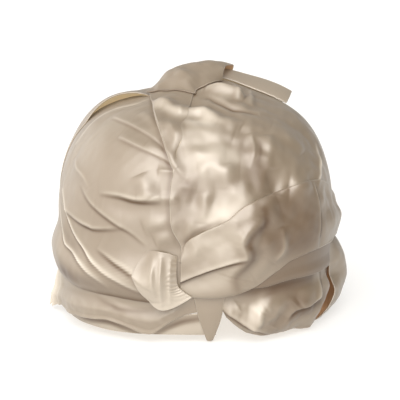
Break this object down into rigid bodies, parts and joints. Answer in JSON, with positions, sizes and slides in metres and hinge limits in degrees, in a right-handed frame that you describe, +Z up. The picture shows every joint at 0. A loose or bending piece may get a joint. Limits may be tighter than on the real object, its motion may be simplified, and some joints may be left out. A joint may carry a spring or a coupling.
{
  "type": "sleep bonnet",
  "caption": "Satin sleep bonnet: a hollow wrapped cap of lapped, pleated panels with a rolled crown fold, knotted front, drape, rim bands and a free side loop.",
  "frame": {"origin": "centre of the head opening, in the plane of the rim, where the bonnet sits on a head", "axes": "+Z up through the crown, front with the knot towards -Y, side loop on +X"},
  "size_m": [0.2271, 0.233, 0.1901],
  "materials": {
    "satin": "satin, champagne, warmer and duller on the reverse"
  },
  "bodies": {
    "root": {"crown_left": "satin", "crown_right": "satin", "crown_back": "satin", "edge_facing": "satin", "crown_roll": "satin", "back_pleat": "satin", "right_drape": "satin", "under_drape": "satin", "right_band": "satin", "side_loop": "satin", "left_band": "satin", "under_band": "satin", "gathered_end": "satin", "front_tab": "satin"}
  },
  "joints": []
}
